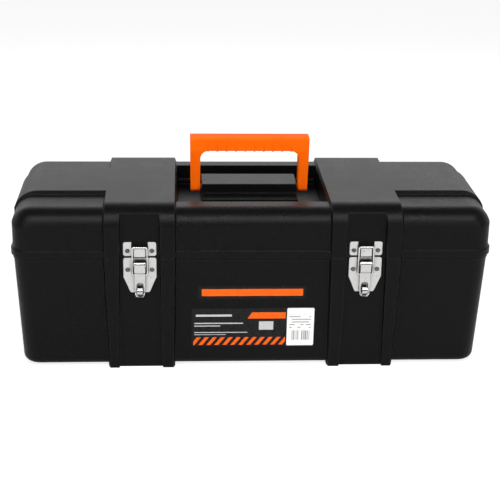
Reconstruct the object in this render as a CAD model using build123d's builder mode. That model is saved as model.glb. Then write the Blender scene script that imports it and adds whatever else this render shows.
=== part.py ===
from build123d import *
import math
import os

os.makedirs("parts", exist_ok=True)

# Plastic tool box with a hinged lid, a folding handle, two draw latches and a lift-out tray.
# Frame: X along the case, Y from front to back, Z up, origin on the ground under the middle.

# Case, outside sizes
flange_length = 660.0        # over the rim flange, end to end
case_depth = 276.0           # over the two bands, front to back
top_height = 238.0           # ground to the top of the bands
parting_height = 167.0       # ground to the seam between tub and lid
seam_gap = 0.6               # daylight between tub rim and lid rim
wall = 3.0                   # moulded wall
band_height = 6.0            # bands and spine stand this far out of the panels
flange_overhang = 2.5        # rim flange past the lid panels
flange_height = 9.4
flange_round = 1.2
corner_radius = 28.0         # vertical corners at the flange
shoulder_radius = 35.0       # rounding of the band from its front to its top
crease_inset = 1.6           # the walls cut the shoulder's rounding here and leave a crease

# Tub
base_length = 639.0          # panels at their lower edge
base_depth = 241.0
base_clearance = 3.0         # panels end this far above the ground
base_round = 10.0            # lower edge of the panels
base_corner_radius = 24.0
tub_step = 0.8               # tub panels sit this far inside the lid panels
rim_band_height = 5.0        # small raised rim just under the seam
collar_height = 29.0         # the bands are upright this far below the seam, then taper
lip_height = 4.0             # inner lip that the lid closes over
lip_width = 1.8
lip_gap = 0.6

# Bands round the case, with the channel that holds a latch
band_width = 100.0
band_foot_width = 93.0
band_centre = 154.4
band_foot_centre = 153.3
band_foot_depth = 252.6
band_draft = 2.5             # the band's side walls lean in by this much
channel_width = 51.5
channel_foot_width = 60.0
channel_depth = 10.0
channel_foot_depth = 5.0
channel_draft = 2.0
seat_drop = 57.0             # the latch seat is upright this far below the seam
channel_top = top_height - 9.0        # upper end of the channel, on the lid's shoulder

# Spine along the top of the lid
spine_front = -54.5
spine_back = 53.0

# Handle trench in the lid, between the bands
trench_front = -86.5
trench_back = 88.0
trench_floor = top_height - 33.0
trench_draft = 2.0
ledge_height = top_height - 27.0      # the folded handle comes down to this ledge
ledge_front = 81.5
island_half_length = 69.0
island_front = -36.0
island_step = -6.5           # the island's front part is lower than its back part
island_back = 45.6
island_step_height = top_height - 19.5
island_draft = 1.0

# Handle
handle_pivot_y = 8.0
handle_pivot_z = top_height - 13.0
handle_top = top_height + 62.0
handle_length = 170.0
handle_foot_length = 167.6
grip_depth = 27.0
grip_height = 19.0
grip_corner = 12.0           # rounding inside the frame, under the grip
grip_edge = 2.4
leg_foot_radius = 8.0
leg_gap = 1.4                # between a leg and the island
trunnion_radius = 3.5
trunnion_reach = 6.5
running_gap = 0.06           # radial, pin to hole
rib_count = 10
rib_pitch = 13.2
rib_width = 1.8
rib_round = 0.8
rib_proud = 0.9
rib_length = 15.0

# Hinge at the back of each band
hinge_width = 84.0
knuckle_count = 5
knuckle_radius = 5.0
knuckle_gap = 0.5            # between knuckles, and from a knuckle to the band behind it
hinge_pin_radius = 2.0
hinge_web_height = 10.0

# Latch, pressed steel
sheet = 1.2
latch_width = 45.0
keeper_bottom = parting_height + 1.6
keeper_height = 19.9
hook_width = 15.0
hook_reach = 6.0
hook_top = parting_height + 13.4
base_top = parting_height - 1.1
base_bottom = parting_height - 51.6
base_taper_top = parting_height - 29.0
base_foot_width = 26.0
plate_round = 3.0
rivet_spread = 33.2
keeper_rivet_z = parting_height + 8.8
base_rivet_z = parting_height - 18.6
rivet_radius = 1.6
rivet_head_radius = 2.9
rivet_head_height = 1.3
rivet_head_round = 0.8
rivet_gap = 0.1
washer_radius = 5.0
washer_height = 1.0
lever_width = 14.5
lever_pivot_z = parting_height - 9.5
lever_pivot_out = 6.0        # from the latch seat out to the pivot
lever_nose = 4.4             # lever's rounded upper end, round the pivot
lever_knee_z = parting_height - 19.7  # below this crease the lever lies closer to the plate
lever_knee_out = 9.8
lever_step_z = parting_height - 23.4
lever_low_out = 5.4
lever_bend_z = parting_height - 50.6
lever_bend_out = 4.2
lever_tip_z = parting_height - 56.3
lever_tip_out = 8.6
lever_tip_width = 12.0
lever_tip_round = 4.0
lever_wall_gap = 0.7         # side walls of the lever end this far off the base plate
lever_wall_foot = parting_height - 46.0
ear_width = 1.0
ear_gap = 0.3
ear_radius = 3.2
lever_pin_radius = 1.5
lever_pin_fit = 0.02         # radial, pin in the plate's ears
bail_tip = 1.0               # the wire's ends show this far inside the lever
bail_wire_radius = 1.1
bail_span = 20.2             # between the centres of the two side wires
bail_foot_z = parting_height - 25.2
bail_foot_out = 3.9
bail_top_z = parting_height + 15.6
bail_hook_gap = 0.5          # the cross wire stands this far in front of the hook
bail_bend = 2.6
eye_radius = 3.2             # hole for a padlock's shackle
eye_rim = 1.7
eye_width = 7.4
eye_z = parting_height - 47.6
eye_out = 7.9
eye_slot_gap = 1.1
eye_slot_top = parting_height - 36.5

# Lift-out tray
tray_length = 616.0
tray_depth = 232.0
tray_height = 48.0
tray_bottom = parting_height - 59.0
tray_wall = 2.2
tray_draft = 5.0
tray_corner = 18.0
tray_rim = 3.0
tray_divider = 2.0
tray_divider_height = 36.0
tray_seat_gap = 0.3
tray_ledge_length = 90.0
tray_ledge_height = 4.0
tray_ledge_inside = 7.0      # how far the tray's end rests on its ledge
tray_bridge_length = 130.0
tray_bridge_depth = 22.0
tray_bridge_top = parting_height + 11.0
tray_bridge_leg = 14.0
tray_bridge_beam = 12.0
tray_bridge_root = 2.0       # the bridge's legs reach this far down past the dividers' top
front_dividers = 1
back_dividers = 3

# Labels on the front panel
label_thickness = 0.3
label_left = -84.0
label_right = 48.6
label_bottom = 31.0
label_top = 89.5
sticker_right = 87.0
badge_half_length = 74.5
badge_bottom = 104.0
badge_top = 123.5
label_corner = 2.0

# Worked out from the sizes above
half_depth = case_depth / 2
flange_half = flange_length / 2
panel_half_x = flange_half - flange_overhang
panel_half_y = half_depth - band_height
panel_top = top_height - band_height
base_half_x = base_length / 2
base_half_y = base_depth / 2
panel_corner = corner_radius - flange_overhang
seam_bottom = parting_height - seam_gap / 2
seam_top = parting_height + seam_gap / 2
seat_y = -(half_depth - channel_depth)
seat_bottom = parting_height - seat_drop
collar_bottom = parting_height - collar_height
far = 40.0                   # reach of a cutter past what it cuts
sink = 0.3                   # a raised band's sides reach this far into the panel
shoulder_spare = 1.0         # corner radius past the shoulder's, so that the round closes
hinge_y = half_depth + knuckle_radius + knuckle_gap
latch_sides = (("left", -band_centre), ("right", band_centre))
panel_lean = (panel_half_y - tub_step - base_half_y) / (parting_height - base_clearance)


def rounded_prism(half_x, half_y, radius, low, high):
    """An upright prism with rounded corners, centred on the case."""
    with BuildPart() as prism:
        with BuildSketch(Plane.XY.offset(low)):
            RectangleRounded(2 * half_x, 2 * half_y, radius)
        extrude(amount=high - low)
    return prism.part


def tapered_block(sections):
    """A solid through upright-stacked rectangles, each (z, half length, front, back)."""
    with BuildPart() as block:
        for z, half, front, back in sections:
            with BuildSketch(Plane.XY.offset(z)):
                with Locations((0, (front + back) / 2)):
                    Rectangle(2 * half, back - front)
        loft(ruled=True)
    return block.part


def bar_along_x(outline, centre, length):
    """An outline in Y and Z, drawn out along X to both sides of its centre."""
    with BuildPart() as bar:
        with BuildSketch(Plane.YZ.offset(centre - length / 2)):
            add(outline)
        extrude(amount=length)
    return bar.part


def rod_along_x(radius, start, end, y, z):
    """A round rod from one X to another."""
    with BuildPart() as rod:
        with BuildSketch(Plane.YZ.offset(start)):
            with Locations((y, z)):
                Circle(radius)
        extrude(amount=end - start)
    return rod.part


def rod_along_y(radius, start, end, places):
    """Round rods from one Y to another, one at each (x, z)."""
    with BuildPart() as rods:
        with BuildSketch(Plane.XZ.offset(-end)):
            with Locations(*places):
                Circle(radius)
        extrude(amount=end - start)
    return rods.part


# Lid shell: one form drawn twice, at its outside and one wall further in
def crowned_outline(half, inset, low):
    """Upright sides, rounded shoulders with a crease at their foot, and a flat top."""
    radius = shoulder_radius - inset
    side = half - inset
    top = top_height - inset
    centre = top - radius
    crease = centre + math.sqrt(radius**2 - (radius - crease_inset) ** 2)
    flat = side + crease_inset - radius
    turn = radius * math.sqrt(0.5)
    with BuildSketch() as outline:
        with BuildLine():
            Polyline((-side, crease), (-side, low), (side, low), (side, crease))
            ThreePointArc((side, crease), (flat + turn, centre + turn), (flat, top))
            Line((flat, top), (-flat, top))
            ThreePointArc((-flat, top), (-flat - turn, centre + turn), (-side, crease))
        make_face()
    return outline.sketch


def crowned_strip(plane, half, start, end, inset, low):
    """A crowned outline drawn out from start to end, with sides that lean in."""
    with BuildPart() as strip:
        with BuildSketch(plane.offset(start)):
            add(crowned_outline(half, inset, low))
        extrude(amount=end - start)
        for place, lean in ((start, -band_draft), (end, band_draft)):
            with BuildSketch(plane.offset(place)):
                add(crowned_outline(half, inset, low))
            with BuildSketch(plane.offset(place + lean)):
                add(crowned_outline(half, inset + band_height + sink, low))
            loft(ruled=True)
    return strip.part


def crowned_panels(inset, low):
    """The lid between its bands: a box with a rounded shoulder all the way round."""
    radius = shoulder_radius - inset
    with BuildPart() as panels:
        with BuildSketch(Plane.XY.offset(low)):
            RectangleRounded(
                2 * (panel_half_x + band_height + crease_inset - inset),
                2 * (half_depth + crease_inset - inset),
                radius + shoulder_spare,
            )
        extrude(amount=top_height - inset - low)
        fillet(panels.faces().sort_by(Axis.Z)[-1].edges(), radius)
        add(
            rounded_prism(
                panel_half_x + band_height - inset,
                half_depth - inset,
                panel_corner + band_height - inset,
                low,
                top_height,
            ),
            mode=Mode.INTERSECT,
        )
    return panels.part


def trench(grow):
    """Space for the folded handle, with a ledge along its back."""
    low = trench_floor - grow
    high = top_height + 1
    edge = band_centre - band_width / 2
    lip = edge + band_draft * (high - panel_top) / band_height
    front = trench_front - grow
    with BuildPart() as space:
        for floor, back in ((low, ledge_front + grow), (ledge_height - grow, trench_back + grow)):
            foot = edge - trench_draft * (panel_top - floor) / (panel_top - trench_floor)
            add(
                tapered_block(
                    [
                        (floor, foot + grow, front + trench_draft, back),
                        (panel_top, edge + grow, front, back),
                        (high, lip + grow, front, back),
                    ]
                )
            )
    return space.part


def island(inset):
    """Raised block inside the trench, lower in front, that carries the handle's pivots."""
    foot = trench_floor - inset - 1
    with BuildPart() as block:
        for front, back, top in (
            (island_front, island_step + 2 * band_draft, island_step_height),
            (island_step, island_back, panel_top),
        ):
            add(
                tapered_block(
                    [
                        (foot, island_half_length - inset, front + inset, back - inset),
                        (
                            top - inset,
                            island_half_length - island_draft - inset,
                            front + island_draft + inset,
                            back - island_draft - inset,
                        ),
                    ]
                )
            )
    return block.part


def channel_at(centre, sections, grow):
    """One latch channel, through plan outlines given as (z, width, floor)."""
    with BuildPart() as cut:
        for z, width, floor in sections:
            half = width / 2 + grow
            flare = half + channel_draft
            with BuildSketch(Plane.XY.offset(z)):
                with BuildLine():
                    Polyline(
                        (centre - half, grow - floor),
                        (centre + half, grow - floor),
                        (centre + flare, -half_depth),
                        (centre + flare, -half_depth - far),
                        (centre - flare, -half_depth - far),
                        (centre - flare, -half_depth),
                        close=True,
                    )
                make_face()
        loft(ruled=True)
    return cut.part


def channels(sections, grow):
    """The channels down the front of both bands."""
    with BuildPart() as cut:
        for name, centre in latch_sides:
            add(channel_at(centre, sections, grow))
    return cut.part


def lid_channels(grow):
    """Upright channels, closed at the top on the lid's shoulder."""
    sections = ((seam_top - far, channel_width, -seat_y), (channel_top + grow, channel_width, -seat_y))
    return channels(sections, grow)


def lid_form(inset, low, extra=()):
    """Everything that is lid, this far inside its outer skin."""
    core = band_width / 2 - band_draft - inset
    with BuildPart() as form:
        add(crowned_panels(inset + band_height, low))
        for piece in extra:
            add(piece)
        for centre in (-band_centre, band_centre):
            add(crowned_strip(Plane.YZ, half_depth, centre - core, centre + core, inset, low))
        add(
            crowned_strip(
                Plane.XZ, flange_half, inset - spine_back, -spine_front - inset, inset, low
            )
        )
        add(trench(inset), mode=Mode.SUBTRACT)
        add(island(inset))
        add(lid_channels(inset), mode=Mode.SUBTRACT)
    return form.part


def knuckles(first, web_low, web_high):
    """Hinge knuckles behind both bands, every second one, with webs to the band."""
    pitch = hinge_width / knuckle_count
    with BuildPart() as row:
        for name, centre in latch_sides:
            for index in range(first, knuckle_count, 2):
                middle = centre - hinge_width / 2 + pitch * (index + 0.5)
                start = middle - (pitch - knuckle_gap) / 2
                end = middle + (pitch - knuckle_gap) / 2
                add(rod_along_x(knuckle_radius, start, end, hinge_y, parting_height))
                with BuildSketch(Plane.YZ.offset(start)):
                    with BuildLine():
                        Polyline(
                            (half_depth - wall / 2, web_low),
                            (hinge_y, web_low),
                            (hinge_y, web_high),
                            (half_depth - wall / 2, web_high),
                            close=True,
                        )
                    make_face()
                extrude(amount=end - start)
        for name, centre in latch_sides:
            add(
                rod_along_x(
                    hinge_pin_radius + running_gap,
                    centre - hinge_width / 2,
                    centre + hinge_width / 2,
                    hinge_y,
                    parting_height,
                ),
                mode=Mode.SUBTRACT,
            )
    return row.part


with BuildPart() as flange:
    add(
        rounded_prism(
            flange_half,
            panel_half_y + flange_overhang,
            corner_radius,
            seam_top,
            seam_top + flange_height,
        )
    )
    fillet(flange.faces().sort_by(Axis.Z)[-1].edges(), flange_round)

# The island's end walls carry the handle's trunnions
with BuildPart() as lid:
    add(lid_form(0, seam_top, (flange.part,)))
    add(lid_form(wall, seam_top - far), mode=Mode.SUBTRACT)
    add(knuckles(1, seam_top, seam_top + hinge_web_height))
    add(
        rod_along_x(
            trunnion_radius + running_gap,
            -island_half_length - 1,
            island_half_length + 1,
            handle_pivot_y,
            handle_pivot_z,
        ),
        mode=Mode.SUBTRACT,
    )
    for name, centre in latch_sides:
        spots = [(centre + side * rivet_spread / 2, keeper_rivet_z) for side in (-1, 1)]
        add(rod_along_y(rivet_radius + rivet_gap, seat_y - 1, seat_y + wall + 1, spots),
            mode=Mode.SUBTRACT)
lid.part.label = "lid"
export_step(lid.part, "parts/lid.step")


# Tub shell, drawn the same way
def tub_panels(inset, high):
    """The tub between its bands: drafted walls and a rounded lower edge."""
    with BuildPart() as panels:
        for z in (base_clearance + inset, high):
            share = (z - base_clearance) / (parting_height - base_clearance)
            half_x = base_half_x + share * (panel_half_x - tub_step - base_half_x) - inset
            half_y = base_half_y + share * (panel_half_y - tub_step - base_half_y) - inset
            with BuildSketch(Plane.XY.offset(z)):
                RectangleRounded(2 * half_x, 2 * half_y, base_corner_radius - inset)
        loft(ruled=True)
        fillet(panels.faces().sort_by(Axis.Z)[0].edges(), base_round - inset)
    return panels.part


def tub_band(centre, inset, high):
    """A band up the front, under the floor and up the back, upright above its collar."""
    with BuildPart() as band:
        for z in (inset, collar_bottom, high):
            share = min(1.0, z / collar_bottom)
            reach = band_foot_depth / 2 + share * (half_depth - band_foot_depth / 2) - inset
            root = reach - band_height - sink
            share = min(1.0, z / parting_height)
            half = band_foot_width / 2 + share * (band_width - band_foot_width) / 2 - inset
            face = half - band_draft
            shift = band_foot_centre + share * (band_centre - band_foot_centre)
            middle = math.copysign(shift, centre)
            with BuildSketch(Plane.XY.offset(z)):
                with BuildLine():
                    Polyline(
                        (middle + half, -root),
                        (middle + face, -reach),
                        (middle - face, -reach),
                        (middle - half, -root),
                        (middle - half, root),
                        (middle - face, reach),
                        (middle + face, reach),
                        (middle + half, root),
                        close=True,
                    )
                make_face()
        loft(ruled=True)
    return band.part


def tub_form(inset, high, extra=()):
    """Everything that is tub, this far inside its outer skin."""
    foot = band_foot_depth / 2 - channel_foot_depth
    lean = (channel_foot_width - channel_width) / parting_height
    sections = (
        (-1, channel_foot_width, foot),
        (seat_bottom, channel_foot_width - lean * seat_bottom, -seat_y),
        (parting_height + far + 1, channel_width, -seat_y),
    )
    with BuildPart() as form:
        add(tub_panels(inset, high))
        for piece in extra:
            add(piece)
        for name, centre in latch_sides:
            add(tub_band(centre, inset, high))
        add(channels(sections, inset), mode=Mode.SUBTRACT)
    return form.part


rim = rounded_prism(
    panel_half_x, panel_half_y, panel_corner, seam_bottom - rim_band_height, seam_bottom
)
lip_half_x = panel_half_x - wall - lip_gap
lip_half_y = panel_half_y - wall - lip_gap
lip_corner = panel_corner - wall - lip_gap
lip_root = seam_bottom - rim_band_height

# A low lip stands up inside the lid, broken where the bands pass
with BuildPart() as lip:
    add(
        rounded_prism(lip_half_x, lip_half_y, lip_corner, lip_root, seam_bottom + lip_height)
    )
    add(
        rounded_prism(
            lip_half_x - lip_width,
            lip_half_y - lip_width,
            lip_corner - lip_width,
            lip_root - 1,
            seam_bottom + lip_height + 1,
        ),
        mode=Mode.SUBTRACT,
    )
    with Locations((-band_centre, 0, parting_height), (band_centre, 0, parting_height)):
        Box(band_width + 2 * wall, 2 * half_depth, far, mode=Mode.SUBTRACT)

tray_half = tray_length / 2
ledge_inner = tray_half - tray_draft - tray_ledge_inside
ledge_top = tray_bottom - tray_seat_gap
wall_lean = (panel_half_x - tub_step - base_half_x) / (parting_height - base_clearance)
ledge_outer = base_half_x + wall_lean * (tray_bottom - base_clearance) - wall / 2

with BuildPart() as tub:
    add(tub_form(0, seam_bottom, (rim,)))
    add(tub_form(wall, seam_bottom + far), mode=Mode.SUBTRACT)
    add(lip.part)
    for side in (-1, 1):
        with BuildSketch(Plane.XZ.offset(-tray_ledge_length / 2)):
            with BuildLine():
                Polyline(
                    (side * ledge_inner, ledge_top),
                    (side * ledge_outer, ledge_top),
                    (side * ledge_outer, ledge_top - (ledge_outer - ledge_inner)),
                    (side * ledge_inner, ledge_top - tray_ledge_height),
                    close=True,
                )
            make_face()
        extrude(amount=tray_ledge_length)
    add(knuckles(0, seam_bottom - hinge_web_height, seam_bottom))
    for name, centre in latch_sides:
        spots = [(centre + side * rivet_spread / 2, base_rivet_z) for side in (-1, 1)]
        add(rod_along_y(rivet_radius + rivet_gap, seat_y - 1, seat_y + wall + 1, spots),
            mode=Mode.SUBTRACT)
tub.part.label = "tub"
export_step(tub.part, "parts/tub.step")

# Handle: a moulded frame on two trunnions, ribbed where the fingers hold it
leg_inner = island_half_length + leg_gap
grip_bottom = handle_top - grip_height
with BuildPart() as handle:
    with BuildSketch(Plane.YZ.offset(-handle_length / 2)):
        with BuildLine():
            Polyline(
                (handle_pivot_y - leg_foot_radius, handle_pivot_z),
                (handle_pivot_y - grip_depth / 2, grip_bottom),
                (handle_pivot_y - grip_depth / 2, handle_top),
                (handle_pivot_y + grip_depth / 2, handle_top),
                (handle_pivot_y + grip_depth / 2, grip_bottom),
                (handle_pivot_y + leg_foot_radius, handle_pivot_z),
            )
            ThreePointArc(
                (handle_pivot_y + leg_foot_radius, handle_pivot_z),
                (handle_pivot_y, handle_pivot_z - leg_foot_radius),
                (handle_pivot_y - leg_foot_radius, handle_pivot_z),
            )
        make_face()
    extrude(amount=handle_length)
    with BuildSketch(Plane.XZ.offset(-handle_pivot_y)):
        with BuildLine():
            Polyline(
                (-handle_foot_length / 2, handle_pivot_z - far),
                (handle_foot_length / 2, handle_pivot_z - far),
                (handle_length / 2, handle_top + 1),
                (-handle_length / 2, handle_top + 1),
                close=True,
            )
        make_face()
    extrude(amount=grip_depth, both=True, mode=Mode.INTERSECT)
    edges = handle.edges().filter_by(Axis.X).group_by(Axis.Z)[-1]
    fillet(edges, grip_edge)
    with BuildSketch(Plane.XZ.offset(-handle_pivot_y)):
        with BuildLine():
            FilletPolyline(
                (-leg_inner, handle_pivot_z - far),
                (-leg_inner, grip_bottom),
                (leg_inner, grip_bottom),
                (leg_inner, handle_pivot_z - far),
                radius=grip_corner,
            )
            Line((leg_inner, handle_pivot_z - far), (-leg_inner, handle_pivot_z - far))
        make_face()
    extrude(amount=grip_depth, both=True, mode=Mode.SUBTRACT)
    for index in range(rib_count):
        place = (index - (rib_count - 1) / 2) * rib_pitch
        with BuildSketch(Plane.XY.offset(grip_bottom - rib_proud)):
            with Locations((place, handle_pivot_y)):
                RectangleRounded(rib_width, grip_depth + 2 * rib_proud, rib_round)
        extrude(amount=rib_length)
    for side in (-1, 1):
        inner = side * (leg_inner - trunnion_reach)
        start, end = sorted((inner, side * (leg_inner + 1)))
        add(rod_along_x(trunnion_radius, start, end, handle_pivot_y, handle_pivot_z))
handle.part.label = "handle"
export_step(handle.part, "parts/handle.step")


# Hinge pins, one steel rod behind each band
def hinge_pin(name, centre):
    with BuildPart() as pin:
        add(
            rod_along_x(
                hinge_pin_radius,
                centre - hinge_width / 2 + knuckle_gap,
                centre + hinge_width / 2 - knuckle_gap,
                hinge_y,
                parting_height,
            )
        )
    pin.part.label = "hinge_pin_" + name
    export_step(pin.part, "parts/" + pin.part.label + ".step")


# Keeper: a plate on the lid with two ears and a hook between them
def keeper(name, centre):
    top = keeper_bottom + keeper_height
    notch = bail_span + 2 * bail_wire_radius
    with BuildPart() as plate:
        with BuildSketch(Plane.XZ.offset(-seat_y)) as outline:
            with Locations((centre, keeper_bottom + keeper_height / 2)):
                Rectangle(latch_width, keeper_height)
            fillet(outline.vertices(), plate_round)
            with Locations((centre, top)):
                Rectangle(notch, 2 * (top - hook_top + sheet), mode=Mode.SUBTRACT)
        extrude(amount=sheet)
        front = seat_y - hook_reach
        with BuildSketch(Plane.YZ.offset(centre - hook_width / 2)):
            with BuildLine():
                Polyline(
                    (seat_y - sheet / 2, keeper_bottom),
                    (front, keeper_bottom),
                    (front, hook_top),
                    (front + sheet, hook_top),
                    (front + sheet, keeper_bottom + sheet),
                    (seat_y - sheet / 2, keeper_bottom + sheet),
                    close=True,
                )
            make_face()
        extrude(amount=hook_width)
        spots = [(centre + side * rivet_spread / 2, keeper_rivet_z) for side in (-1, 1)]
        add(rod_along_y(rivet_radius + rivet_gap, seat_y - far, seat_y + 1, spots),
            mode=Mode.SUBTRACT)
    plate.part.label = "keeper_" + name
    export_step(plate.part, "parts/" + plate.part.label + ".step")


# Base plate on the tub: ears for the lever's pin, and an eye for a padlock
def base_plate(name, centre):
    pivot_y = seat_y - lever_pivot_out
    eye_y = seat_y - eye_out
    with BuildPart() as plate:
        with BuildSketch(Plane.XZ.offset(-seat_y)) as outline:
            with BuildLine():
                Polyline(
                    (centre - latch_width / 2, base_top),
                    (centre + latch_width / 2, base_top),
                    (centre + latch_width / 2, base_taper_top),
                    (centre + base_foot_width / 2, base_bottom),
                    (centre - base_foot_width / 2, base_bottom),
                    (centre - latch_width / 2, base_taper_top),
                    close=True,
                )
            make_face()
            fillet(outline.vertices(), plate_round)
        extrude(amount=sheet)
        inner = lever_width / 2 + ear_gap
        for start in (centre - inner - ear_width, centre + inner):
            with BuildSketch(Plane.YZ.offset(start)):
                with Locations((pivot_y, lever_pivot_z)):
                    Circle(ear_radius)
                with Locations(((seat_y - sheet / 2 + pivot_y) / 2, lever_pivot_z)):
                    Rectangle(lever_pivot_out - sheet / 2, 2 * ear_radius)
            extrude(amount=ear_width)
        start = centre - inner - ear_width - 1
        end = centre + inner + ear_width + 1
        add(rod_along_x(lever_pin_radius + lever_pin_fit, start, end, pivot_y, lever_pivot_z),
            mode=Mode.SUBTRACT)
        with BuildSketch(Plane.YZ.offset(centre - eye_width / 2)):
            with Locations((eye_y, eye_z)):
                Circle(eye_radius + eye_rim)
            with Locations(((seat_y - sheet / 2 + eye_y) / 2, eye_z)):
                Rectangle(eye_out - sheet / 2, eye_radius + eye_rim)
            with Locations((eye_y, eye_z)):
                Circle(eye_radius, mode=Mode.SUBTRACT)
        extrude(amount=eye_width)
        spots = [(centre + side * rivet_spread / 2, base_rivet_z) for side in (-1, 1)]
        add(rod_along_y(rivet_radius + rivet_gap, seat_y - far, seat_y + 1, spots),
            mode=Mode.SUBTRACT)
    plate.part.label = "latch_base_" + name
    export_step(plate.part, "parts/" + plate.part.label + ".step")


# Two rivets through a plate and the moulded wall, with a washer under each inner head
def rivets(label, centre, z):
    spots = [(centre + side * rivet_spread / 2, z) for side in (-1, 1)]
    outer = seat_y - sheet
    inner = seat_y + wall + washer_height
    with BuildPart() as pair:
        add(rod_along_y(rivet_radius, outer - rivet_head_height / 2, inner, spots))
        add(rod_along_y(rivet_head_radius, outer - rivet_head_height, outer, spots))
        fillet(pair.edges().filter_by(GeomType.CIRCLE).group_by(Axis.Y)[0], rivet_head_round)
        add(rod_along_y(rivet_head_radius, inner, inner + rivet_head_height, spots))
    pair.part.label = label
    export_step(pair.part, "parts/" + label + ".step")


def washers(label, z):
    spots = [
        (centre + side * rivet_spread / 2, z) for name, centre in latch_sides for side in (-1, 1)
    ]
    with BuildPart() as group:
        add(rod_along_y(washer_radius, seat_y + wall, seat_y + wall + washer_height, spots))
        add(
            rod_along_y(
                rivet_radius + rivet_gap, seat_y + wall - 1, seat_y + wall + washer_height + 1, spots
            ),
            mode=Mode.SUBTRACT,
        )
    group.part.label = label
    export_step(group.part, "parts/" + label + ".step")


# Lever: a pressed channel that swings out and up on its pin, clearing the padlock's eye
def lever(name, centre):
    pivot = (seat_y - lever_pivot_out, lever_pivot_z)
    back = seat_y - sheet - lever_wall_gap
    with BuildSketch() as outline:
        with BuildLine():
            ThreePointArc(
                (pivot[0] - lever_nose, pivot[1]),
                (pivot[0], pivot[1] + lever_nose),
                (pivot[0] + lever_nose, pivot[1]),
            )
            Polyline(
                (pivot[0] + lever_nose, pivot[1]),
                (back, lever_knee_z),
                (back, bail_foot_z - lever_nose),
                (seat_y - lever_bend_out + sheet, lever_wall_foot),
                (seat_y - lever_bend_out + sheet, lever_bend_z),
                (seat_y - lever_tip_out + sheet, lever_tip_z),
                (seat_y - lever_tip_out, lever_tip_z),
                (seat_y - lever_bend_out, lever_bend_z + sheet / 2),
                (seat_y - lever_low_out, lever_step_z),
                (seat_y - lever_knee_out, lever_knee_z),
                (pivot[0] - lever_nose, pivot[1]),
            )
        make_face()
    nose = lever_nose - sheet
    with BuildSketch() as hollow:
        with BuildLine():
            ThreePointArc(
                (pivot[0] - nose, pivot[1]), (pivot[0], pivot[1] + nose), (pivot[0] + nose, pivot[1])
            )
            Polyline(
                (pivot[0] + nose, pivot[1]),
                (seat_y, pivot[1]),
                (seat_y, lever_wall_foot),
                (seat_y - lever_bend_out + sheet, lever_wall_foot),
                (seat_y - lever_low_out + sheet, lever_step_z + sheet / 2),
                (seat_y - lever_knee_out + sheet, lever_knee_z + sheet / 2),
                (pivot[0] - nose, pivot[1]),
            )
        make_face()
    with BuildPart() as arm:
        add(bar_along_x(outline.sketch, centre, lever_width))
        add(bar_along_x(hollow.sketch, centre, lever_width - 2 * sheet), mode=Mode.SUBTRACT)
        with BuildSketch(Plane.XZ.offset(-seat_y + far)) as front:
            with BuildLine():
                Polyline(
                    (centre - lever_tip_width / 2, lever_tip_z),
                    (centre + lever_tip_width / 2, lever_tip_z),
                    (centre + lever_width / 2, lever_bend_z + sheet),
                    (centre + lever_width / 2, pivot[1] + 2 * lever_nose),
                    (centre - lever_width / 2, pivot[1] + 2 * lever_nose),
                    (centre - lever_width / 2, lever_bend_z + sheet),
                    close=True,
                )
            make_face()
            fillet(front.vertices().group_by(Axis.Z)[0], lever_tip_round)
            slot_low = eye_z - eye_radius - eye_rim - eye_slot_gap
            with Locations((centre, (slot_low + eye_slot_top) / 2)):
                RectangleRounded(
                    eye_width + 2 * eye_slot_gap,
                    eye_slot_top - slot_low,
                    eye_width / 2,
                    mode=Mode.SUBTRACT,
                )
        extrude(amount=-2 * far, mode=Mode.INTERSECT)
        for radius, y, z in (
            (lever_pin_radius + running_gap, pivot[0], pivot[1]),
            (bail_wire_radius + running_gap, seat_y - bail_foot_out, bail_foot_z),
        ):
            start = centre - lever_width
            add(rod_along_x(radius, start, centre + lever_width, y, z), mode=Mode.SUBTRACT)
    arm.part.label = "latch_lever_" + name
    export_step(arm.part, "parts/" + arm.part.label + ".step")

    reach = lever_width / 2 + ear_gap + ear_width
    with BuildPart() as pin:
        add(rod_along_x(lever_pin_radius, centre - reach, centre + reach, *pivot))
    pin.part.label = "lever_pin_" + name
    export_step(pin.part, "parts/" + pin.part.label + ".step")


# Bail: one bent wire, its ends turned into the lever's side walls
def bail(name, centre):
    foot = (seat_y - bail_foot_out, bail_foot_z)
    top = (seat_y - hook_reach - bail_hook_gap - bail_wire_radius, bail_top_z)
    half = bail_span / 2
    tip = lever_width / 2 - sheet - bail_tip
    with BuildPart() as wire:
        with BuildLine() as path:
            FilletPolyline(
                (centre - tip, *foot),
                (centre - half, *foot),
                (centre - half, *top),
                (centre + half, *top),
                (centre + half, *foot),
                (centre + tip, *foot),
                radius=bail_bend,
            )
        with BuildSketch(Plane(origin=path.line @ 0, z_dir=path.line % 0)):
            Circle(bail_wire_radius)
        sweep()
    wire.part.label = "latch_bail_" + name
    export_step(wire.part, "parts/" + wire.part.label + ".step")


for name, centre in latch_sides:
    hinge_pin(name, centre)
    keeper(name, centre)
    base_plate(name, centre)
    rivets("keeper_rivets_" + name, centre, keeper_rivet_z)
    rivets("base_rivets_" + name, centre, base_rivet_z)
    lever(name, centre)
    bail(name, centre)
washers("lid_rivet_washers", keeper_rivet_z)
washers("tub_rivet_washers", base_rivet_z)


# Tray: a shallow drafted box with a rim, dividers and a moulded carrying bridge
def tray_shell(inset, low, high):
    with BuildPart() as shell:
        for z in (low, high):
            lean = tray_draft * (1 - (z - tray_bottom) / tray_height)
            with BuildSketch(Plane.XY.offset(z)):
                RectangleRounded(
                    tray_length - 2 * (tray_rim + lean + inset),
                    tray_depth - 2 * (tray_rim + lean + inset),
                    tray_corner - inset,
                )
        loft(ruled=True)
    return shell.part


tray_top = tray_bottom + tray_height
tray_floor = tray_bottom + tray_wall
gap_bottom = tray_floor + tray_divider_height - tray_bridge_root
gap_top = tray_bridge_top - tray_bridge_beam


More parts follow.
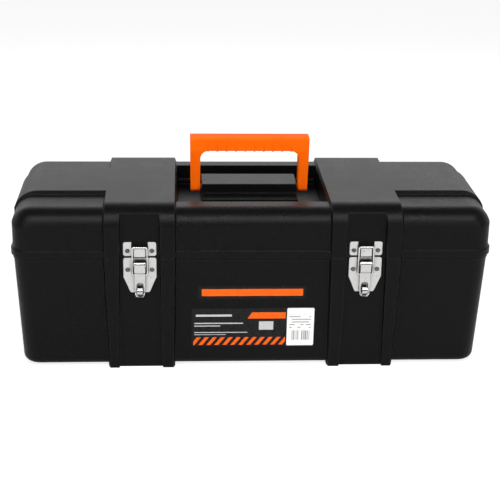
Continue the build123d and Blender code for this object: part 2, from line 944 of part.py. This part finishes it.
def tray_dividers():
    """A wall along the middle, and cross walls that part both halves."""
    standing = (Align.CENTER, Align.CENTER, Align.MIN)
    with BuildPart() as walls:
        with Locations((0, 0, tray_floor - 1)):
            Box(tray_length, tray_divider, tray_divider_height, align=standing)
        for count, side in ((front_dividers, -1), (back_dividers, 1)):
            pitch = tray_length / (count + 1)
            for index in range(count):
                place = (index + 1) * pitch - tray_length / 2
                with Locations((place, side * tray_depth / 4, tray_floor - 1)):
                    Box(tray_divider, tray_depth / 2, tray_divider_height, align=standing)
        add(tray_shell(tray_wall / 2, tray_bottom, tray_top + far), mode=Mode.INTERSECT)
    return walls.part


with BuildPart() as tray:
    add(tray_shell(0, tray_bottom, tray_top))
    add(
        rounded_prism(
            tray_length / 2, tray_depth / 2, tray_corner + tray_rim, tray_top - tray_wall, tray_top
        )
    )
    add(tray_shell(tray_wall, tray_floor, tray_top + far), mode=Mode.SUBTRACT)
    add(tray_dividers())
    with BuildSketch(Plane.XZ.offset(-tray_bridge_depth / 2)) as bridge:
        with Locations((0, (tray_floor + tray_bridge_top) / 2)):
            Rectangle(tray_bridge_length, tray_bridge_top - tray_floor)
        fillet(bridge.vertices().group_by(Axis.Y)[-1], tray_bridge_leg)
        with Locations((0, (gap_bottom + gap_top) / 2)):
            Rectangle(
                tray_bridge_length - 2 * tray_bridge_leg, gap_top - gap_bottom, mode=Mode.SUBTRACT
            )
    extrude(amount=tray_bridge_depth)
tray.part.label = "tray"
export_step(tray.part, "parts/tray.step")


# Labels lie on the sloping front panel, between the bands
def label(name, left, right, bottom, top):
    middle_z = (bottom + top) / 2
    middle_y = -(base_half_y + panel_lean * (middle_z - base_clearance))
    slope = Plane(origin=(0, middle_y, middle_z), x_dir=(1, 0, 0), z_dir=(0, -1, -panel_lean))
    with BuildPart() as film:
        with BuildSketch(slope):
            with Locations(((left + right) / 2, 0)):
                RectangleRounded(right - left, top - bottom, label_corner)
        extrude(amount=label_thickness)
    film.part.label = name
    export_step(film.part, "parts/" + name + ".step")


label("front_label", label_left, label_right, label_bottom, label_top)
label("data_sticker", label_right + knuckle_gap, sticker_right, label_bottom, label_top)
label("front_badge", -badge_half_length, badge_half_length, badge_bottom, badge_top)
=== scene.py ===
import math

import bpy
from mathutils import Matrix, Vector


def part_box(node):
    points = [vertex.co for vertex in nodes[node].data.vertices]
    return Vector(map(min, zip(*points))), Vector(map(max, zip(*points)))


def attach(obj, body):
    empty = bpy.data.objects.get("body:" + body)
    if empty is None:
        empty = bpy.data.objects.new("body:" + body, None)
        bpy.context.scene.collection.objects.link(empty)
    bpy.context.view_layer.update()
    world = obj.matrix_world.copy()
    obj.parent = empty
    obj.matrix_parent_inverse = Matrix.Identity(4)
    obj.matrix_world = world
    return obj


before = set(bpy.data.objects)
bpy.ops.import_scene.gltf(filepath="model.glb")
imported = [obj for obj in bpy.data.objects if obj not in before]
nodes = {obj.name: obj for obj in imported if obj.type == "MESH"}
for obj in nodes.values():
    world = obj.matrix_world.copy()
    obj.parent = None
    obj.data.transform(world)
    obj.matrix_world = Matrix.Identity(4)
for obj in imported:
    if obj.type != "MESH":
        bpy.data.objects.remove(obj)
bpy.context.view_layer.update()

# Case: the tub and the lid are injection moulded in black polypropylene. The mould was
# etched with a fine leather-like grain, and handling has polished its edges and left
# a few pale scuffs.


class Signal:
    """A value or colour that varies over a surface; sums written with it add Math nodes."""

    def __init__(self, finish, socket):
        self.finish = finish
        self.socket = socket

    def math(self, operation, first, second, clamp=False):
        settings = {"operation": operation, "use_clamp": clamp}
        return self.finish.node("ShaderNodeMath", settings, {0: first, 1: second})

    def __add__(self, other):
        return self.math("ADD", self, other)

    def __radd__(self, other):
        return self.math("ADD", other, self)

    def __sub__(self, other):
        return self.math("SUBTRACT", self, other)

    def __rsub__(self, other):
        return self.math("SUBTRACT", other, self)

    def __mul__(self, other):
        return self.math("MULTIPLY", self, other)

    def __rmul__(self, other):
        return self.math("MULTIPLY", other, self)

    def __truediv__(self, other):
        return self.math("DIVIDE", self, other)

    def __gt__(self, other):
        return self.math("GREATER_THAN", self, other)

    def __lt__(self, other):
        return self.math("LESS_THAN", self, other)

    def fraction(self):
        return self.math("FRACT", self, 0.0)

    def floor(self):
        return self.math("FLOOR", self, 0.0)

    def clipped(self):
        return self.math("ADD", self, 0.0, clamp=True)

    def spread(self, low, high):
        """0 below low, 1 above high, and straight between."""
        return ((self - low) / (high - low)).clipped()


class Finish:
    """A material in the making, with its principled shader."""

    def __init__(self, name):
        self.material = bpy.data.materials.new(name)
        self.material.use_nodes = True
        self.tree = self.material.node_tree
        self.shader = self.tree.nodes["Principled BSDF"]

    def node(self, kind, settings=None, values=None, output=0):
        """Adds a node: its settings first, then the values or links of its sockets."""
        made = self.tree.nodes.new(kind)
        for key, value in (settings or {}).items():
            setattr(made, key, value)
        for key, value in (values or {}).items():
            self.join(made.inputs[key], value)
        return Signal(self, made.outputs[output])

    def join(self, socket, value):
        if isinstance(value, Signal):
            self.tree.links.new(value.socket, socket)
        else:
            socket.default_value = value

    def give(self, **values):
        """Sets the shader's sockets; an underscore stands for a space."""
        for key, value in values.items():
            self.join(self.shader.inputs[key.replace("_", " ")], value)

    def place(self):
        return self.node("ShaderNodeTexCoord", output="Object")

    def axes(self):
        """The place along X, Y and Z, in metres."""
        split = self.node("ShaderNodeSeparateXYZ", {}, {0: self.place()})
        outputs = split.socket.node.outputs
        return [Signal(self, outputs[index]) for index in range(3)]

    def stretched(self, scale):
        """Places squeezed or drawn out along the axes, for marks that run one way."""
        values = {0: self.place(), 1: scale}
        return self.node("ShaderNodeVectorMath", {"operation": "MULTIPLY"}, values)

    def noise(self, scale, detail=2.0, rough=0.5, place=None):
        values = {"Scale": scale, "Detail": detail, "Roughness": rough}
        values["Vector"] = place or self.place()
        return self.node("ShaderNodeTexNoise", {}, values)

    def mixed(self, share, first, second):
        """One colour over another, by a share that may vary."""
        values = {0: share, 6: first, 7: second}
        return self.node("ShaderNodeMix", {"data_type": "RGBA"}, values, output=2)

    def rounded(self, radius):
        """The surface's direction with its sharp edges rounded off."""
        return self.node("ShaderNodeBevel", {"samples": 6}, {"Radius": radius})

    def edges(self, rounded):
        """1 along sharp edges, 0 on flat ground."""
        values = {0: rounded, 1: self.node("ShaderNodeNewGeometry", output="Normal")}
        settings = {"operation": "DOT_PRODUCT"}
        alike = self.node("ShaderNodeVectorMath", settings, values, output="Value")
        return (1.0 - alike).spread(0.005, 0.12)

    def painted_gap_shade(self, reach):
        """1 in narrow gaps and inside corners, where shade falls and is painted into the colour,
        0 in the open.
        """
        values = {"Distance": reach, "Color": (1.0, 1.0, 1.0, 1.0)}
        open_share = self.node("ShaderNodeAmbientOcclusion", {"samples": 8}, values, output="AO")
        return (1.0 - open_share).spread(0.12, 0.70)

    def bumped(self, height, distance, strength, base=None):
        values = {"Height": height, "Distance": distance, "Strength": strength}
        if base:
            values["Normal"] = base
        return self.node("ShaderNodeBump", {}, values)


def dress(finish, *names):
    """Puts a finish on CAD nodes."""
    for name in names:
        materials = nodes[name].data.materials
        materials.clear()
        materials.append(finish.material)


noise_middle = 0.5
grain_depth = 0.00045


def shaded(colour, times):
    """The same colour, lighter or darker."""
    return [part * times for part in colour[:3]] + [1.0]


def moulded(name, colour, worn, grain, edge, gloss):
    """Grained, slightly scuffed plastic, with its edges rounded to a radius in metres."""
    made = Finish(name)
    rounded = made.rounded(edge)
    wear = made.edges(rounded)
    broad = made.noise(5.0, detail=3.0)
    patches = made.noise(38.0, detail=4.0, rough=0.6)
    pits = made.noise(1300.0, detail=2.0)
    hide = made.noise(420.0, detail=4.0, rough=0.75)
    thin_in_height = made.stretched((9.0, 9.0, 160.0))
    thin_in_length = made.stretched((150.0, 9.0, 12.0))
    long_marks = made.noise(1.0, 5.0, 0.7, thin_in_height).spread(0.70, 0.78)
    cross_marks = made.noise(1.0, 5.0, 0.7, thin_in_length).spread(0.71, 0.79)
    scuffs = (long_marks + cross_marks).clipped() * patches.spread(0.45, 0.7)
    tint = made.mixed(broad.spread(0.35, 0.7), colour, shaded(colour, 1.25))
    tint = made.mixed((scuffs * 0.35 + wear * patches * 0.5).clipped(), tint, worn)
    uneven = (
        (broad - noise_middle) * 0.12
        + (patches - noise_middle) * 0.10
        + (hide - noise_middle) * 0.30
    )
    made.give(
        Base_Color=tint,
        Roughness=gloss + uneven + scuffs * 0.12 - wear * 0.08,
        Normal=made.bumped(pits * 0.35 + hide * 0.65, grain_depth, grain, rounded),
        Specular_IOR_Level=0.11,
    )
    return made


case_black = (0.0028, 0.0028, 0.0030, 1.0)
case_worn = (0.045, 0.045, 0.047, 1.0)
case_finish = moulded("case_plastic", case_black, case_worn, grain=1.0, edge=0.0019, gloss=0.31)
dress(case_finish, "tub", "lid")

# Tray: a lighter moulding of the same black plastic that lifts out of the tub. Its mould
# was left smoother, and tools sliding about have scratched its floor.
tray_black = (0.010, 0.010, 0.0105, 1.0)
tray_worn = (0.07, 0.07, 0.072, 1.0)
tray_finish = moulded("tray_plastic", tray_black, tray_worn, grain=0.30, edge=0.0007, gloss=0.36)
dress(tray_finish, "tray")

# Handle: a moulded frame in satin orange polypropylene that turns on two stub shafts in
# the lid. The grip's front carries finger ribs, and palms have polished its top.
grip_edge = 0.0014
grip_gloss = 0.42
stipple_depth = 0.00006
deep_orange = (0.94, 0.118, 0.002, 1.0)
bright_orange = (0.98, 0.142, 0.003, 1.0)
grimy_orange = (0.42, 0.06, 0.01, 1.0)
polished_orange = (0.99, 0.21, 0.006, 1.0)

grip_finish = Finish("handle_plastic")
rounded = grip_finish.rounded(grip_edge)
wear = grip_finish.edges(rounded)
flow = grip_finish.noise(14.0, detail=3.0)
grime = grip_finish.noise(60.0, detail=5.0, rough=0.65).spread(0.52, 0.72)
stipple = grip_finish.noise(1900.0, detail=2.0)
tint = grip_finish.mixed(flow.spread(0.3, 0.7), deep_orange, bright_orange)
tint = grip_finish.mixed(grime * 0.10, tint, grimy_orange)
tint = grip_finish.mixed(wear * 0.22, tint, polished_orange)
grip_finish.give(
    Base_Color=tint,
    Roughness=grip_gloss + (flow - noise_middle) * 0.10 + grime * 0.10,
    Normal=grip_finish.bumped(stipple, stipple_depth, 0.20, rounded),
    Specular_IOR_Level=0.015,
)
dress(grip_finish, "handle")

# Latches: each has a plate on the tub with ears and a padlock eye, a lever, a wire bail
# and a hooked keeper on the lid, pressed from sheet steel and plated in bright nickel.
pit_brown = (0.25, 0.24, 0.22, 1.0)
gap_shade_colour = (0.035, 0.034, 0.032, 1.0)
gap_reach = 0.009
rolling_depth = 0.00003


def plated(name, colour, gloss, edge):
    """Plated steel with faint rolling lines, finger smears, tiny pits and painted shade in its
    gaps and inside corners.
    """
    made = Finish(name)
    rounded = made.rounded(edge)
    wear = made.edges(rounded)
    smears = made.noise(160.0, detail=4.0, rough=0.6)
    lines = made.noise(1.0, 3.0, 0.6, made.stretched((4200.0, 900.0, 240.0)))
    pits = made.noise(3200.0, detail=1.0).spread(0.70, 0.78)
    dull = smears.spread(0.50, 0.72)
    tint = made.mixed(dull * 0.35, colour, shaded(colour, 0.80))
    tint = made.mixed(pits * 0.5, tint, pit_brown)
    # Painted shade: the colour goes dark in narrow gaps and inside corners, where shade falls.
    tint = made.mixed(made.painted_gap_shade(gap_reach), tint, gap_shade_colour)
    made.give(
        Base_Color=tint,
        Metallic=1.0 - pits * 0.4,
        Roughness=gloss + dull * 0.12 + (lines - noise_middle) * 0.08 - wear * 0.04,
        Normal=made.bumped(lines * 0.6 + smears * 0.4, rolling_depth, 0.25, rounded),
    )
    return made


plate_finish = plated("latch_steel", (0.64, 0.635, 0.625, 1.0), gloss=0.20, edge=0.0004)
wire_finish = plated("latch_wire", (0.80, 0.795, 0.78, 1.0), gloss=0.15, edge=0.0002)
pin_finish = plated("pin_steel", (0.60, 0.59, 0.57, 1.0), gloss=0.30, edge=0.0003)
# The rivet heads' dark steel colour is painted shade, standing in for the shade inside the hollow
# tubular rivets.
rivet_shade_finish = plated("rivet_steel_painted_shade", (0.10, 0.098, 0.095, 1.0), gloss=0.26, edge=0.0004)
for side in ("left", "right"):
    dress(plate_finish, "keeper_" + side, "latch_base_" + side, "latch_lever_" + side)
    dress(wire_finish, "latch_bail_" + side)
    dress(pin_finish, "lever_pin_" + side, "hinge_pin_" + side)
    dress(rivet_shade_finish, "base_rivets_" + side, "keeper_rivets_" + side)
dress(pin_finish, "lid_rivet_washers", "tub_rivet_washers")

# Rivet rims: each outer head of the tubular rivets gets a rolled ring round a shallow cup,
# coloured dark as painted shade of the rivet's hollow centre.
ring_steps = 40
ring_height = 0.00045
ring_outer_share = 0.70      # of the rivet head's radius
ring_inner_share = 0.34
ring_sink = 0.00002          # how far a ring's foot goes into the head
cup_rim_rise = 0.00005
cup_middle_rise = 0.00002


def turned_ring(name, centre, outer, inner):
    """A rolled ring round a shallow cup, turned about an axis along Y and facing the front."""
    across, front, up = centre
    profile = [
        (outer, 0.0),
        (outer * 0.98, ring_height * 0.6),
        ((outer + inner) / 2, ring_height),
        (inner * 1.04, ring_height * 0.55),
        (inner * 0.9, cup_rim_rise),
    ]
    points, faces = [], []
    for radius, rise in profile:
        for step in range(ring_steps):
            turn = 2 * math.pi * step / ring_steps
            sideways, upward = radius * math.cos(turn), radius * math.sin(turn)
            points.append((across + sideways, front - rise, up + upward))
    middle = len(points)
    points.append((across, front - cup_middle_rise, up))
    starts = range(0, middle, ring_steps)
    for first, second in zip(starts, starts[1:]):
        for step in range(ring_steps):
            after = (step + 1) % ring_steps
            faces.append((first + step, first + after, second + after, second + step))
    for step in range(ring_steps):
        faces.append((starts[-1] + step, starts[-1] + (step + 1) % ring_steps, middle))
    mesh = bpy.data.meshes.new(name)
    mesh.from_pydata(points, [], faces)
    for face in mesh.polygons:
        face.use_smooth = True
    made = bpy.data.objects.new(name, mesh)
    bpy.context.scene.collection.objects.link(made)
    return made


# Painted shade: the dark ring and cup stand in for the shade inside each rivet's hollow.
rivet_hollow_shade = plated("rivet_rim_painted_shade", (0.17, 0.168, 0.162, 1.0), gloss=0.22, edge=0.0002)
for side in ("left", "right"):
    for node, body in (("keeper_rivets_", "lid"), ("base_rivets_", "tub")):
        low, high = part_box(node + side)
        head = (high.z - low.z) / 2
        for end in ("a", "b"):
            across = low.x + head if end == "a" else high.x - head
            spot = (across, low.y + ring_sink, (low.z + high.z) / 2)
            outer, inner = head * ring_outer_share, head * ring_inner_share
            ring = turned_ring(node + side + "_rim_" + end, spot, outer, inner)
            ring.data.materials.append(rivet_hollow_shade.material)
            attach(ring, body)

# Front label: a printed gloss film on the tub. It has pale rules where small print would
# be, an orange band at its upper right and slanted orange bars along its foot.
orange_ink = (0.90, 0.118, 0.004, 1.0)
pale_ink = (0.72, 0.72, 0.72, 1.0)
label_black = (0.0080, 0.0080, 0.0085, 1.0)
ripple_depth = 0.00012
print_right = 0.0470
bars_left = -0.0815
bars_bottom, bars_top = 0.0325, 0.0445
bar_pitch = 0.0112
bar_slope = 0.75             # sideways for each metre up
bar_origin = (-0.1, 0.0315)  # where one bar's edge starts
flag_bottom, flag_top = 0.0734, 0.0831
flag_left = -0.0059
flag_slope = 0.6
small_print = (              # left, right, bottom and top of each pale rule, then the box
    (-0.078, -0.028, 0.0768, 0.0800),
    (-0.080, -0.012, 0.0655, 0.0672),
    (-0.080, -0.044, 0.0615, 0.0629),
    (-0.080, -0.006, 0.0515, 0.0527),
    (-0.080, -0.036, 0.0483, 0.0491),
    (0.010, 0.030, 0.0560, 0.0690),
)


def within(value, low, high):
    """1 between two limits, 0 outside them."""
    return (value > low) * (value < high)


def printed(name, ground):
    """A smooth printed film that lies a little unevenly on the grain below it."""
    made = Finish(name)
    ripple = made.noise(220.0, detail=2.0)
    handled = made.noise(90.0, detail=4.0).spread(0.4, 0.75)
    made.give(
        Base_Color=ground,
        Roughness=0.24 + handled * 0.16,
        Normal=made.bumped(ripple, ripple_depth, 0.15),
        Specular_IOR_Level=0.16,
    )
    return made


label_finish = printed("label_film", label_black)
x, y, z = label_finish.axes()
slant = ((x - (z - bar_origin[1]) * bar_slope - bar_origin[0]) / bar_pitch).fraction()
bars = (
    within(slant, 0.22, 0.72)
    * within(z, bars_bottom, bars_top)
    * within(x, bars_left, print_right)
)
flag = (
    within(z, flag_bottom, flag_top)
    * (x > (z - flag_bottom) * flag_slope + flag_left)
    * (x < print_right)
)
rules = sum(
    within(z, bottom, top) * within(x, left, right) for left, right, bottom, top in small_print
).clipped()
ink = label_finish.mixed((bars + flag).clipped(), label_black, orange_ink)
ink = label_finish.mixed(rules * 0.75, ink, pale_ink)
label_finish.give(Base_Color=ink)
dress(label_finish, "front_label")

# Sticker: white coated paper with short broken rules and, below them, a block of thin
# upright bars, all printed in black.
paper_white = (0.84, 0.84, 0.83, 1.0)
print_black = (0.03, 0.03, 0.03, 1.0)
thin_bar = 0.00055
thin_bars_left, thin_bars_right = 0.0535, 0.0815
thin_bars_bottom, thin_bars_top = 0.0400, 0.0545
rule_pitch = 0.0042
rule_piece = 0.004
rules_left, rules_right = 0.0525, 0.0825
rules_bottom, rules_top = 0.0575, 0.0800

sticker_finish = printed("sticker_film", paper_white)
x, y, z = sticker_finish.axes()
columns = sticker_finish.node(
    "ShaderNodeTexWhiteNoise", {"noise_dimensions": "1D"}, {"W": (x / thin_bar).floor()}
)
code = (
    (columns > 0.52)
    * within(z, thin_bars_bottom, thin_bars_top)
    * within(x, thin_bars_left, thin_bars_right)
)
lines = (
    ((z / rule_pitch).fraction() < 0.26)
    * within(x, rules_left, rules_right)
    * within(z, rules_bottom, rules_top)
)
cell = sticker_finish.node(
    "ShaderNodeCombineXYZ", {}, {0: (x / rule_piece).floor(), 1: (z / rule_pitch).floor()}
)
ragged = sticker_finish.node(
    "ShaderNodeTexWhiteNoise", {"noise_dimensions": "2D"}, {"Vector": cell}
)
marks = (code + lines * (ragged > 0.40)).clipped()
ink = sticker_finish.mixed(marks * 0.85, paper_white, print_black)
sticker_finish.give(Base_Color=ink)
dress(sticker_finish, "data_sticker")

# Badge: a dark gloss film with one plain orange bar. It is stuck on the tub's front panel
# above the label.
badge_black = (0.0055, 0.0055, 0.0058, 1.0)
badge_bar_half = 0.0700
badge_bar_bottom, badge_bar_top = 0.1085, 0.1190

badge_finish = printed("badge_film", orange_ink)
x, y, z = badge_finish.axes()
bar = within(x, -badge_bar_half, badge_bar_half) * within(z, badge_bar_bottom, badge_bar_top)
badge_finish.give(Base_Color=badge_finish.mixed(bar, badge_black, orange_ink))
dress(badge_finish, "front_badge")

# Floor: a wide pale sweep for the box to stand on. The camera sees it near white, and the
# box's shadow stays on it.
white = (1.0, 1.0, 1.0, 1.0)
floor_grey = (0.86, 0.86, 0.86, 1.0)
floor_size = 14.0
glow_share = 0.60            # how much of the camera's view of the floor is its white glow
glow_strength = 1.36

bpy.ops.mesh.primitive_plane_add(size=floor_size, location=(0.0, 2.0, 0.0))
floor = bpy.context.object
floor.name = "floor"
floor_finish = Finish("floor_paint")
floor_finish.give(Base_Color=floor_grey, Roughness=0.85, Specular_IOR_Level=0.1)
glow = floor_finish.node("ShaderNodeEmission", {}, {"Color": white, "Strength": glow_strength})
seen = floor_finish.node("ShaderNodeLightPath", output="Is Camera Ray")
paint = Signal(floor_finish, floor_finish.shader.outputs[0])
blend = floor_finish.node("ShaderNodeMixShader", {}, {0: seen * glow_share, 1: paint, 2: glow})
floor_finish.join(floor_finish.tree.nodes["Material Output"].inputs["Surface"], blend)
floor.data.materials.append(floor_finish.material)

# Light: a broad soft box behind, a long one overhead in front, two paler ones at the
# front corners, and a white surround that reflects less from the front and above.


def soft_box(name, place, aim, size, power):
    """A rectangular lamp at a place, turned to what it aims at."""
    data = bpy.data.lights.new(name, "AREA")
    data.shape = "RECTANGLE"
    data.size, data.size_y = size
    data.energy = power
    lamp = bpy.data.objects.new(name, data)
    bpy.context.scene.collection.objects.link(lamp)
    lamp.location = place
    lamp.rotation_euler = (Vector(aim) - Vector(place)).to_track_quat("-Z", "Y").to_euler()


lid_middle = (0.0, 0.0, 0.2)
case_middle = (0.0, 0.0, 0.15)
soft_box("rear_box", place=(0.0, 1.75, 1.25), aim=lid_middle, size=(2.2, 1.0), power=6.5)
soft_box("top_box", place=(0.0, -1.05, 1.75), aim=lid_middle, size=(2.4, 0.5), power=36.0)
for name, side in (("left_box", -1.5), ("right_box", 1.5)):
    soft_box(name, place=(side, -2.0, 1.0), aim=case_middle, size=(1.0, 1.0), power=12.0)

lit_strength = 0.30          # of the surround, as it lights rough surfaces
dim_strength = 0.22          # of its front and top, as they show in gloss

world = bpy.data.worlds.new("surround")
bpy.context.scene.world = world
world.use_nodes = True
tree = world.node_tree


def sky(kind, output=0, settings=None, values=None):
    """Adds a node to the surround and gives one of its outputs."""
    made = tree.nodes.new(kind)
    for key, value in (settings or {}).items():
        setattr(made, key, value)
    for key, value in (values or {}).items():
        if isinstance(value, bpy.types.NodeSocket):
            tree.links.new(value, made.inputs[key])
        else:
            made.inputs[key].default_value = value
    return made.outputs[output]


def ramped(value, start, end, first, last):
    """first where the value is at start, last where it is at end."""
    limits = {"Value": value, "From Min": start, "From Max": end, "To Min": first, "To Max": last}
    return sky("ShaderNodeMapRange", values=limits)


direction = sky("ShaderNodeSeparateXYZ", values={0: sky("ShaderNodeTexCoord", "Generated")})
behind = ramped(direction.node.outputs["Y"], -0.15, 0.25, dim_strength, 1.0)
low_down = ramped(direction.node.outputs["Z"], 0.30, 0.62, 1.0, dim_strength)
product = {"operation": "MULTIPLY"}
reflected = sky("ShaderNodeMath", settings=product, values={0: behind, 1: low_down})
glossy = sky("ShaderNodeLightPath", "Is Glossy Ray")
lit = sky("ShaderNodeMix", values={0: glossy, 2: lit_strength, 3: reflected})
seen_directly = sky("ShaderNodeLightPath", "Is Camera Ray")
strength = sky("ShaderNodeMix", values={0: seen_directly, 2: lit, 3: 1.0})
surround = tree.nodes["Background"]
surround.inputs["Color"].default_value = white
tree.links.new(strength, surround.inputs["Strength"])

# Camera: at the photograph's place, which was found from the box's straight edges, with a
# long lens and a slight turn and tilt.
yaw, pitch, roll = math.radians(3.369), math.radians(20.291), math.radians(1.004)
lens = 93.25
sensor_width = 36.0
distance = 1.90161
aimed_at = Vector((0.00301, 0.0, 0.12885))

level = math.cos(pitch)
ahead = Vector((math.sin(yaw) * level, math.cos(yaw) * level, -math.sin(pitch)))
right = Vector((math.cos(yaw), -math.sin(yaw), 0.0))
up = right.cross(ahead)
turned_right = math.cos(roll) * right + math.sin(roll) * up
turned_up = math.cos(roll) * up - math.sin(roll) * right
data = bpy.data.cameras.new("camera")
data.lens = lens
data.sensor_width = sensor_width
camera = bpy.data.objects.new("camera", data)
bpy.context.scene.collection.objects.link(camera)
place = aimed_at - ahead * distance
rows = [(turned_right[i], turned_up[i], -ahead[i], place[i]) for i in range(3)]
camera.matrix_world = Matrix(rows + [(0.0, 0.0, 0.0, 1.0)])
bpy.context.scene.camera = camera
bpy.context.scene.view_settings.view_transform = "Standard"
